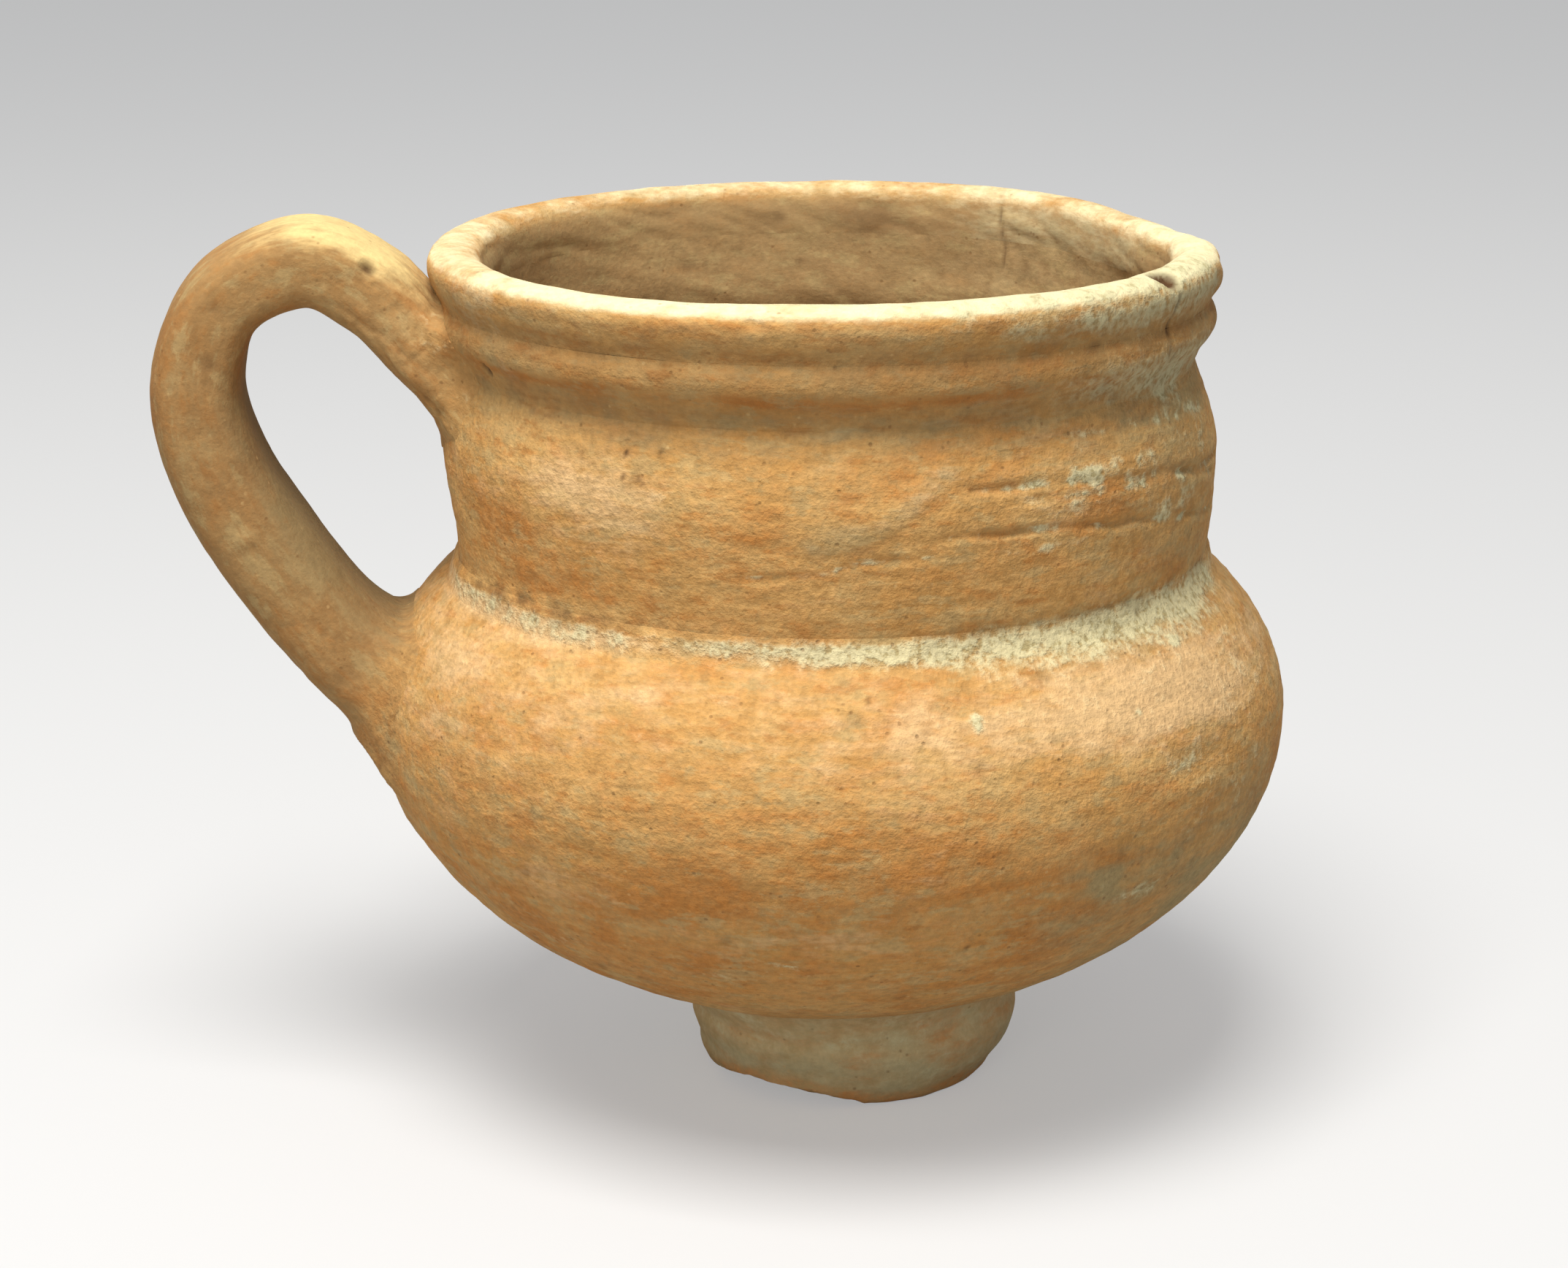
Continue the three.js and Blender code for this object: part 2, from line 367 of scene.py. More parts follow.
# Soft patches of colour: azimuth, height, half width, half height and strength
STAINS = [
    (219, 75.5, 9, 5, 0.7),
    (228, 69.8, 9, 3.2, 0.7),
    (258, 77.5, 22, 5, 0.35),
    (280, 84.0, 12, 4.5, 0.45),
    (296, 74.0, 16, 4, 0.35),
    (316, 78.2, 18, 3.4, 0.4),
    (221, 52.0, 15, 10, 0.6),
    (240, 57.0, 16, 5, 0.3),
    (262, 40.5, 20, 6, 0.35),
    (258, 49.0, 24, 6, 0.4),
    (284, 43.0, 15, 6, 0.4),
    (246, 29.0, 18, 7, 0.3),
    (300, 33.0, 16, 7, 0.3),
]
PALES = [
    (236, 82.0, 18, 6, 0.75),
    (228, 51.0, 16, 7, 0.25),
    (318, 57.0, 26, 7, 0.9),
    (283, 56.5, 22, 5, 0.3),
    (212, 58.5, 12, 5, 0.4),
    (262, 34.0, 20, 4, 0.3),
    (236, 39.0, 14, 6, 0.35),
]
CRUSTS = [
    (330, 89.0, 9, 5, 0.55),
    (338, 84.5, 8, 6, 0.3),
    (313, 82.8, 18, 1.8, 0.6),
    (302, 79.2, 9, 1.6, 0.6),
    (300, 75.4, 13, 1.3, 0.7),
    (330, 76.0, 15, 3.5, 0.35),
    (322, 80.0, 26, 12, 0.22),
    (298, 99.6, 22, 2.4, 0.4),
    (325, 43.0, 18, 12, 0.2),
    (318.5, 50.3, 7, 2.5, 0.35),
    (310, 36.0, 14, 3.5, 0.35),
    (257, 27.0, 16, 2.6, 0.3),
    (250, 82.0, 12, 2.5, 0.2),
    (226, 29.5, 9, 2.5, 0.3),
]
BRIGHT_SPOTS = [(288.0, 58.2, 0.9, 1.7, 1.0), (323.9, 61.5, 1.7, 0.8, 0.9), (310.6, 56.6, 1.1, 0.8, 0.6)]


def unrolled(points, azimuth):
    """Distance round from an azimuth, and height, in millimetres."""
    turn = (np.degrees(np.arctan2(points[:, 1], points[:, 0])) - azimuth + 180) % 360 - 180
    return np.radians(turn) * MARK_RADIUS, points[:, 2]


def spot(points, azimuth, height, width, tall=None):
    """1 in the middle of a soft round or oval spot, falling to 0 at its edge."""
    x, z = unrolled(points, azimuth)
    away = np.hypot(x / width, (z - height) / (tall or width))
    return step(1 - away, 0, 1)


def patches(points, table):
    return sum(strength * spot(points, *place) for *place, strength in table)


def dent(points, place, radius):
    """1 at a place in space, falling to 0 at radius from it."""
    return step(1 - np.linalg.norm(points - np.array(place), axis=1) / radius, 0, 1)


def stroke(points, path, width):
    """1 on a line through (azimuth, height) points, falling to 0 at width from it."""
    middle = path[0][0]
    x, z = unrolled(points, middle)
    line = [(math.radians(a - middle) * MARK_RADIUS, h) for a, h in path]
    nearest = np.full(len(points), 1e9)
    for (ax, az), (bx, bz) in zip(line, line[1:]):
        dx, dz = bx - ax, bz - az
        share = np.clip(((x - ax) * dx + (z - az) * dz) / (dx * dx + dz * dz), 0, 1)
        nearest = np.minimum(nearest, np.hypot(x - ax - share * dx, z - az - share * dz))
    return step(1 - nearest / width, 0, 1)


# Relief and colour masks of the turned pieces


def zones_of(p, outside, inside, rim):
    """Where on the jar each point is, mostly as shares from 0 to 1."""
    z, turn = p[:, 2], azimuth_of(p)
    at = SimpleNamespace(z=z, turn=turn, outside=outside, inside=inside, rim=rim, side=outside + rim)
    at.collar = step(z, 66, 69) * (1 - step(z, 86, 89)) * outside
    at.belly = (1 - step(z, 61, 66)) * step(z, 14, 20) * outside
    at.high = step(z, 88, 92)
    # Marks of the right side fade out before azimuth 0, where they would end in a seam
    at.fading = 1 - step(turn, 335, 360)
    at.behind = 1 - step(turn, 150, 190)
    at.to_right = np.where(turn < 190, 0.2 * at.behind, step(turn, 222, 320) * (0.2 + 0.8 * at.fading))
    at.far_right = step(turn, 285, 325) * (1 - step(turn, 340, 360))
    at.left_joint = step(turn, 188, 198) * (1 - step(turn, 228, 250)) * outside
    at.right_inside = inside * step(turn, 5, 25) * (1 - step(turn, 50, 85))
    at.drift = 4.0 * wander(p, 11, (14, 15, 16)) * [1, 1, 0.35]
    at.slanted = p + np.outer(0.35 * p[:, 0], [0, 0, 1])
    at.broad = octaves(p, (26, 26, 17), 3, 20)
    at.patch = octaves(p, (15, 15, 6), 3, 24)
    at.fine = octaves(p, (5, 5, 2.4), 2, 28)
    at.crust = octaves(p, 3.4, 3, 40)
    return at


def marks_of(p, at):
    """The marks that show both in relief and in colour."""
    wavy = p + 0.35 * wander(p, 5, (12, 13, 17))
    lines = [stroke(wavy, path, width) * at.collar for path, width, _ in WHEEL_GROOVES]
    return SimpleNamespace(
        hole=pits(p, 3.4, 0.12, 1),
        lines=lines,
        groove=np.maximum.reduce(lines),
        ridge=stroke(p + 0.2 * at.drift, RIDGE, 2.4) * at.collar,
        ridge_edge=stroke(p + 0.2 * at.drift, RIDGE_EDGE, 1.1) * at.collar,
        crease=creases(at.slanted, (6, 6, 2.4), 19),
        lip_hole=dent(p + 0.1 * at.drift, LIP_HOLE, 2.4) * at.side,
        crack=stroke(p + 0.12 * at.drift, LIP_CRACK, 0.5) * at.outside * (0.6 + 0.5 * noise(p, 1.6, 21)),
        inner_crack=stroke(p, INNER_CRACK, 0.4) * (at.inside + at.rim),
        cordon_hole=spot(p, 213.4, 91.9, 1.0) * at.outside,
        nick=stroke(p, NICK, 0.7) * at.outside)


def wall_height(p, at, marks):
    """How far the surface stands out, in millimetres."""
    z, outside, inside, rim, side = at.z, at.outside, at.inside, at.rim, at.side
    height = 0.20 * noise(p, (34, 34, 26), 1) * side
    height += 0.09 * noise(p, (12, 12, 8), 2) * (outside + 0.6 * rim)
    height += 0.07 * octaves(p, (5, 5, 1.8), 2, 3) * side
    height += 0.06 * noise(p, (7, 7, 1.5), 4) * (0.55 + 0.45 * noise(p, 17, 5)) * side
    height += 0.035 * noise(p, (2.8, 2.8, 1.1), 7) * side
    turning = np.sin(z * 4.3 + 1.6 * noise(p, (40, 40, 6), 8)) * (0.5 + 0.5 * noise(p, (25, 25, 5), 9))
    height += 0.035 * turning * outside * step(z, 44, 52) * (1 - step(z, 61, 63))
    height -= 0.13 * marks.crease * (0.3 + spot(p, *CREASED_SIDE)) * at.belly
    height += 0.16 * octaves(p, (13, 13, 5.5), 2, 6) * inside
    height -= 0.17 * creases(at.slanted, (13, 13, 3.6), 10) * inside
    height += 0.09 * octaves(at.slanted, (7, 7, 1.8), 2, 11) * inside
    height -= 0.14 * marks.hole * (outside + inside + 0.6 * rim)
    cut = GROOVE_DEPTH * np.clip(0.7 + 0.9 * noise(p, 6, 18), 0.1, 1.2)
    height -= cut * sum(depth * line for (_, _, depth), line in zip(WHEEL_GROOVES, marks.lines))
    height += 0.2 * marks.ridge - 0.06 * marks.ridge_edge
    height += (0.9 * (1 - at.to_right) - 0.15) * near(z, 65.5, 2.6) * outside
    chip = spot(p, 261.3, 100.9, 1.6, 1.1) * side * at.high
    lump = spot(p, 3.0, 101.4, 4.6, 3.4) * side * at.high
    height += 0.35 * lump - 0.5 * chip - 2.0 * marks.lip_hole - 0.8 * marks.cordon_hole
    height -= 0.4 * marks.crack + 0.3 * marks.inner_crack + 0.16 * marks.nick
    return height + patches(p, BUMPS) * outside


def stain_and_shade_mask(p, at, marks):
    outside, z = at.outside, at.z
    clouds = 0.18 + 0.5 * np.clip(at.patch + 0.4 * at.broad, 0, 1)
    stain_and_shade = clouds * (outside + 0.1 * at.rim + 0.35 * at.inside)
    stain_and_shade += patches(p + at.drift, STAINS) * outside * (0.8 + 0.4 * at.fine)
    under_lip = near(z, 100.6, 0.9) * (1 - at.inside) * step(noise(p, 16, 30) + 0.35, 0, 0.6)
    # The orange-brown band under the cordon's bulge is painted shade, laid with the stain colour
    cordon_shade = near(z, 92.4, 1.1) * outside * (0.7 + 0.5 * noise(p, 9, 31))
    stain_and_shade += 0.4 * under_lip + 0.6 * cordon_shade + 0.3 * marks.groove + 0.35 * marks.ridge_edge
    return stain_and_shade + 0.3 * step(52 - z + 3 * at.broad, 0, 9) * at.belly


def pale_mask(p, at, marks):
    outside, z = at.outside, at.z
    pale = 0.4 * np.clip(octaves(p, (20, 20, 12), 3, 36) + 0.2 * at.fine, 0, 1) * outside
    pale += patches(p + at.drift, PALES) * outside
    # The lip's upward faces are painted pale: partly worn clay, partly a painted highlight; worn sets how
    # pale round the rim
    worn = 1.0 - 0.45 * step(p[:, 1], 0, 28) - 0.3 * step(-p[:, 0], 22, 42)
    pale += at.rim * (worn + 0.2 * noise(p, 14, 38) + 0.2 * at.fine)
    pale += (0.35 * step(z, 51, 59) * at.belly + 0.5 * marks.ridge) * (1 + 0.6 * at.fine)
    pale += 0.7 * near(z, 64.7, 1.5) * (1 - at.to_right) * outside
    # The right inner wall is painted paler, as the light falling on it; grey_mask also greys it
    return pale + 0.5 * near(z, 63.8, 2.6) * at.left_joint + 0.4 * at.right_inside


def deposit_mask(p, at, marks):
    z, turn, crust = at.z, at.turn, at.crust
    joint = near(z, 65.2 - 0.6 * at.to_right, 1.9 + 2.4 * at.to_right**2 + 0.8 * at.fine) * at.outside
    along = np.where(turn < 190, 0.1 * at.behind, step(turn, 228, 278) * (0.1 + 0.9 * at.fading))
    deposit = joint * (0.18 + 0.82 * along + 0.25 * crust) + 0.15 * step(z, 52, 60) * at.belly
    deposit += 0.6 * near(z, 64.4, 2.1) * at.left_joint * (0.8 + 0.5 * crust)
    deposit += 0.75 * at.far_right * np.clip(near(z, 100, 5.5) + near(z, 92, 5.5), 0, 1) * at.side
    deposit += 0.1 * at.far_right * near(z, 45, 14) * at.belly
    spread = patches(p + at.drift, CRUSTS) + 0.2 * at.far_right * (near(z, 82, 9) + near(z, 56, 12))
    deposit += spread * (0.7 + 0.9 * crust) * at.side
    deposit += 0.7 * at.rim * step(turn, 235, 300) * at.fading * (0.5 + crust)
    deposit += 0.9 * marks.groove * np.clip(crust + 0.25, 0, 1) + 0.15 * marks.ridge + 0.7 * marks.nick
    return deposit + patches(p + 0.1 * at.drift, BRIGHT_SPOTS) * at.outside


def dark_mask(p, at, marks):
    z, turn, outside, fine = at.z, at.turn, at.outside, at.fine
    dark = 0.4 * marks.hole + 0.9 * marks.crack + 0.6 * marks.inner_crack
    # The hole in the lip and the hole in the cordon are painted dark, as painted shade inside them
    dark += 4.0 * marks.lip_hole + 1.8 * marks.cordon_hole
    dark += 0.07 * at.collar * step(turn, 225, 250) * at.fading
    # Painted shade: the neck, the cordon and the lip's face under the lip's overhang are darkened
    dark += 0.28 * step(z, 85, 90) * (1 - step(z, 99.2, 101.2)) * outside
    dark += (0.06 + 0.5 * pits(p, 1.7, 0.55, 8)) * step(36 - z, 0, 12) * at.belly
    dark += 0.25 * marks.crease * spot(p, *CREASED_SIDE) * at.belly
    # The collar's lowest edge, above the shoulder groove, is darkened: dark grains, and painted shade under
    # the collar's overhang
    above_joint = near(z, 66.5, 1.9 + 0.8 * fine) * np.clip(0.45 + 1.3 * at.crust, 0, 1)
    dark += (0.35 + 0.55 * at.left_joint) * above_joint * outside
    # Painted shade in the groove between the lip and the cordon, and under the cordon
    dark += (0.38 * near(z, 95.6, 3.4) + 0.15 * near(z, 90.6, 2.6)) * outside * (0.8 + 0.5 * fine)
    cluster = 2.2 * pits(p, 1.5, 0.8, 3) + 0.4 * creases(p, (3.2, 3.2, 1.8), 22)
    specks = spot(p, 274.7, 60.7, 0.55) + spot(p, 287.4, 32.1, 0.6) + spot(p, 241, 85.0, 8, 5) * cluster
    dark += specks * outside
    clouds = 0.2 * step(noise(p, (30, 30, 7), 44) + 0.1, 0, 0.8) + 0.14 * near(turn, 90, 45)
    return dark + (clouds + 0.5 * spot(p, 81.4, 98.5, 9, 3.5)) * at.inside


def grey_mask(p, at, marks):
    z, turn, outside = at.z, at.turn, at.outside
    grey = 0.6 * step(spot(p, 305.9, 39.0, 14, 7) + 0.5 * at.fine - 0.3, 0, 0.9) * at.belly
    grey += 0.3 * step(24 - z + 4 * noise(p, 9, 46), 0, 9) * outside
    # Greyer on the cordon's lower side and the neck: painted shade under the cordon, with greenish patches
    grey += 0.5 * near(z, 89.2, 6.5) * step(93 - z, 0, 1.5) * outside * (0.8 + 0.4 * at.fine)
    grey += 0.4 * step(turn, 290, 335) * at.fading * (at.collar + at.belly * step(56 - z, 0, 14))
    grey += (0.35 * marks.ridge + 0.3 * spot(p + at.drift, 272, 78, 16, 5)) * at.collar
    grey += 0.3 * step(z, 96.5, 98) * outside + 0.4 * at.right_inside
    low_right = step(turn, 285, 320) * at.fading * near(z, 31, 14) * at.belly
    return grey + (0.5 + 0.7 * at.patch) * low_right


def relief(p, outside, inside, rim):
    """How far the surface stands out at points p, in millimetres, and its colour masks."""
    at = zones_of(p, outside, inside, rim)
    marks = marks_of(p, at)
    masks = {"stain_and_shade": stain_and_shade_mask(p, at, marks), "pale": pale_mask(p, at, marks),
             "deposit": deposit_mask(p, at, marks), "dark": dark_mask(p, at, marks),
             "grey": grey_mask(p, at, marks), "inner": inside}
    return wall_height(p, at, marks), {key: np.clip(value, 0, 1.35) for key, value in masks.items()}


# Pieces that are turned on the wheel


def sided(outline):
    """Unit normals of an outline, in its own plane."""
    along = np.gradient(outline, axis=0)
    normal = np.stack([along[:, 1], -along[:, 0]], axis=1)
    return normal / np.linalg.norm(normal, axis=1)[:, None]


def whole_turn(count):
    return np.linspace(0, 2 * math.pi, count, endpoint=False)


def all_round(column, count):
    """A column of numbers, repeated for every azimuth."""
    return np.repeat(column.reshape(-1, 1), count, axis=1)


def spun(line, angle):
    """A line of distances and heights, turned round the axis."""
    across, up = line[:, :1], all_round(line[:, 1], len(angle))
    return np.stack([across * np.cos(angle), across * np.sin(angle), up], axis=2)


def faces_hollow(outline, face):
    """1 where a wall faces the jar's hollow, softly across the rim."""
    r, z = outline.T
    floor = (r < 41.5) & (z > 12) & (z < 40) & (face[:, 1] > 0.5)
    return np.where(floor, 1.0, step(-face[:, 0], -0.05, 0.25))


def turned(name, walls, material, node, loop=True):
    """A closed body of revolution. walls are outlines in order; those of two or three points don't show."""
    lines, faces = [], []
    for i, wall in enumerate(walls):
        wall = np.asarray(wall, float)
        lines.append(wall)
        faces.append(sided(wall) if len(wall) > 3 else np.zeros_like(wall))
        if i + 1 < len(walls) or loop:
            gap = even(np.array([wall[-1], walls[(i + 1) % len(walls)][0]]), HIDDEN_SPACING)[1:-1]
            lines.append(gap)
            faces.append(np.zeros_like(gap))
    outline, face = np.vstack(lines), np.vstack(faces)
    rings, normal = (spun(line, whole_turn(ROUND_COUNT)) for line in (outline, face))
    shows = np.linalg.norm(face, axis=1)
    rim = step(face[:, 1], 0.15, 0.85) * step(outline[:, 1], 98.6, 100.4)
    hollow = faces_hollow(outline, face)
    zones = ((1 - hollow) * shows * (1 - rim), hollow * shows * (1 - rim), rim * shows)
    p = rings.reshape(-1, 3)
    height, masks = relief(p, *(all_round(zone, ROUND_COUNT).ravel() for zone in zones))
    moved = lean(p + normal.reshape(-1, 3) * height[:, None])
    masks["flow"] = p * MM * np.array([1, 1, 3.5])
    shaped = {key: value.reshape(*rings.shape[:2], -1) for key, value in masks.items()}
    build(name, moved.reshape(rings.shape), loop, shaped, material, node)


# Handle


def rounded(value):
    return np.sign(value) * np.abs(value) ** (2 / HANDLE_SQUARENESS)


def sweep():
    """Rings of points along the whole handle, their centres, and places that run with the clay."""
    share = np.linspace(0, 1, HANDLE_RINGS)
    stations = curve([s[:2] for s in HANDLE_STATIONS], share)
    sizes = curve([s[2:] for s in HANDLE_STATIONS], share)
    along = np.gradient(stations, axis=0)
    along /= np.linalg.norm(along, axis=1)[:, None]
    angle = whole_turn(HANDLE_SIDES)
    out = sizes[:, :1] / 2 * rounded(np.cos(angle))
    across = sizes[:, 1:] / 2 * rounded(np.sin(angle))
    x = -stations[:, :1] + along[:, 1:] * out
    z = stations[:, 1:] + along[:, :1] * out
    length = np.cumsum(np.concatenate([[0], np.linalg.norm(np.diff(stations, axis=0), axis=1)]))
    flow = np.stack([all_round(length, HANDLE_SIDES), out, across], axis=2)
    rings = np.stack([x, across, z], axis=2)
    centre = np.stack([-stations[:, 0], np.zeros(HANDLE_RINGS), stations[:, 1]], axis=1)[:, None, :]
    turn = math.radians(HANDLE_AZIMUTH)
    spin = np.array([[math.cos(turn), -math.sin(turn), 0], [math.sin(turn), math.cos(turn), 0], [0, 0, 1]])
    return rings @ spin.T, centre @ spin.T, flow, share, angle


def jar_outline():
    wall = arcs(BELLY_RADIUS, (BELLY_DROP, -60, 0, 0.3), (BELLY_RISE, 0, angle_at(62.5, BELLY_RISE), 0.3))
    upper = (FILLET_OUTSIDE[2:-1], COLLAR_OUTSIDE[2:-2], CORDON_OUTSIDE[2:])
    return np.vstack([wall, *(smooth(line, 0.3) for line in upper), smooth(LIP_OUTSIDE[:9], 0.3)[1:]])


def wall_distance(points):
    """Signed distance of points from the jar's outer wall, and the wall's outward normal there."""
    line = jar_outline()
    normal = sided(line)
    rise = np.clip((points[:, 2] - BELLY_TOP) / (LIP_CENTRE - BELLY_TOP), 0, None)
    x = points[:, 0] + LIP_LEAN * rise
    r = np.hypot(x, points[:, 1])
    place = np.stack([r, points[:, 2]], axis=1)
    best, index = np.full(len(points), 1e9), np.zeros(len(points), int)
    for k in range(len(line)):
        away = np.sum((place - line[k]) ** 2, axis=1)
        closer = away < best
        best[closer], index[closer] = away[closer], k
    flat = normal[index]
    offset = np.sum((place - line[index]) * flat, axis=1)
    radial = np.stack([x, points[:, 1]], axis=1) / np.maximum(r, 1e-6)[:, None]
    return offset, np.stack([radial[:, 0] * flat[:, 0], radial[:, 1] * flat[:, 0], flat[:, 1]], axis=1)


def unit(vectors):
    return vectors / np.maximum(np.linalg.norm(vectors, axis=1), 1e-6)[:, None]


def joined(p, outward, at):
    """The handle's points, flared onto the wall at both ends, with its ends laid under the wall."""
    offset, wall = at.offset, at.wall
    reach = 0.8 + (1 - at.top) * (at.lower * (4.0 - 3.2 * at.crotch) + at.upper * (2.9 - 1.4 * at.crotch))
    sideways = unit(outward - np.sum(outward * wall, axis=1)[:, None] * wall)
    close = np.clip(offset, 0, reach)
    flare = reach - np.sqrt(np.maximum(reach**2 - (reach - close) ** 2, 0))
    flare[offset >= reach] = 0
    p = p + sideways * flare[:, None] * (at.upper + at.lower)[:, None].clip(0, 1)
    tail = curve(HANDLE_TAIL, np.linspace(0, 1, 200))
    proud = np.interp(p[:, 2], tail[:, 0], tail[:, 1])
    sunk = np.maximum(offset - proud, 0) * step(at.share, 0.8, 0.84)
    sunk += np.maximum(offset + 1.2, 0) * (1 - step(at.share, 0.015, 0.055))
    return p + wall * (np.maximum(-offset - UNDER_WALL, 0) - sunk)[:, None]


def handle_height(p, q, at):
    """How far the handle's surface stands out, in millimetres. q runs with the clay."""
    height = 0.14 * noise(p, 16, 50) + 0.07 * noise(p, 6.5, 51) + 0.035 * octaves(p, 2.6, 2, 52) - 0.1
    height += 0.03 * noise(q, (9, 1.5, 1.5), 54)
    dug = 0.3 * pits(p, 2.6, 0.4, 5) + 0.25 * pits(p, 1.5, 0.5, 4) + 0.3 * creases(q, (9, 3, 3), 57)
    height += at.rough * (0.22 * octaves(q, (4.5, 1.8, 1.8), 3, 56) - dug)
    height -= 0.14 * at.hole + 0.8 * at.pit
    height += 0.5 * dent(p, (-67.4, -16.9, 70.3), 1.8)
    return height * step(at.offset, -0.3, UNDER_WALL)


def handle_masks(p, at):
    patch = octaves(p, (13, 13, 13), 3, 60)
    outer = step(at.around, -0.2, 0.8)
    # gap is the strap's side that faces the jar; it and the crotch side are painted darker and greyer:
    # painted shade, with grey stain
    gap = step(-at.around, -0.1, 0.7) * step(at.share, 0.4, 0.55) * (1 - step(at.share, 0.84, 0.9))
    # worn here is a painted highlight: the top of the handle's arch is painted pale
    worn = step(at.around, 0, 1) * near(at.share, 0.25, 0.17)
    specks = at.rough * pits(p, 1.5, 0.5, 4)
    return {
        "stain_and_shade": 0.15 + 0.4 * np.clip(patch, 0, 1) + 0.3 * outer * step(at.share, 0.36, 0.5),
        "pale": 0.25 * np.clip(octaves(p, 14, 3, 66), 0, 1) + 0.95 * worn,
        "deposit": 0.3 * at.rough * step(octaves(p, 3, 2, 68), 0.1, 0.7),
        # The pit in the handle's top is painted dark, as painted shade inside it
        "dark": 0.4 * at.hole + 1.3 * at.pit + 0.5 * specks + 0.3 * gap + 0.2 * step(at.share, 0.3, 0.45),
        "grey": 0.3 * step(noise(p, 18, 70) + 0.6 * at.crotch, 0.1, 0.9) + 0.6 * gap,
        "joined": near(at.offset, 0, 5) * np.maximum(at.lower, 0.5 * at.upper * (1 - at.top)),
    }


def handle_pieces():
    """The strap and the two joints, cut from one swept form."""
    rings, centre, flow, shares, angle = sweep()
    shape = rings.shape[:2]
    p, q = rings.reshape(-1, 3), flow.reshape(-1, 3)
    outward = unit((rings - centre).reshape(-1, 3))
    at = SimpleNamespace(share=np.repeat(shares, HANDLE_SIDES), around=np.tile(np.cos(angle), HANDLE_RINGS))
    at.offset, at.wall = wall_distance(p)
    at.top, at.crotch = step(at.around, 0.3, 0.9), step(-at.around, 0.5, 0.95)
    at.upper, at.lower = 1 - step(at.share, 0.2, 0.34), step(at.share, 0.66, 0.8)
    at.rough = at.upper * (1 - step(at.share, 0.12, 0.3)) * (1 - 0.7 * at.crotch)
    p = joined(p, outward, at)
    at.hole, at.pit = pits(p, 3.4, 0.14, 6), dent(p, (-52.3, -14.6, 101.6), 1.6)
    normal = normals_of(p.reshape(*shape, 3)).reshape(-1, 3)
    normal *= np.sign(np.sum(normal * outward))
    p = p + normal * handle_height(p, q, at)[:, None]
    masks = {key: np.clip(value, 0, 1.2).reshape(*shape, 1) for key, value in handle_masks(p, at).items()}
    masks["flow"] = flow * MM * np.array([1, 3.0, 3.0])
    p = p.reshape(*shape, 3)
    last = HANDLE_RINGS - 1
    first_cut, second_cut = round(UPPER_ROOT_END * last), round(LOWER_ROOT_START * last)
    for name, node, start, end in (("handle_top_joint", "handle_upper_root", 0, first_cut),
                                   ("handle_strap", "handle", first_cut, second_cut),
                                   ("handle_foot_joint", "handle_lower_root", second_cut, last)):
        part = {key: value[start:end + 1] for key, value in masks.items()}
        build(name, p[start:end + 1], False, part, handle_clay, node)


# Foot


def bend(t, first, knee, last):
    """A soft bend from first to last past the knee, at shares t of it."""
    return (1 - t) ** 2 * first + 2 * t * (1 - t) * knee + t**2 * last


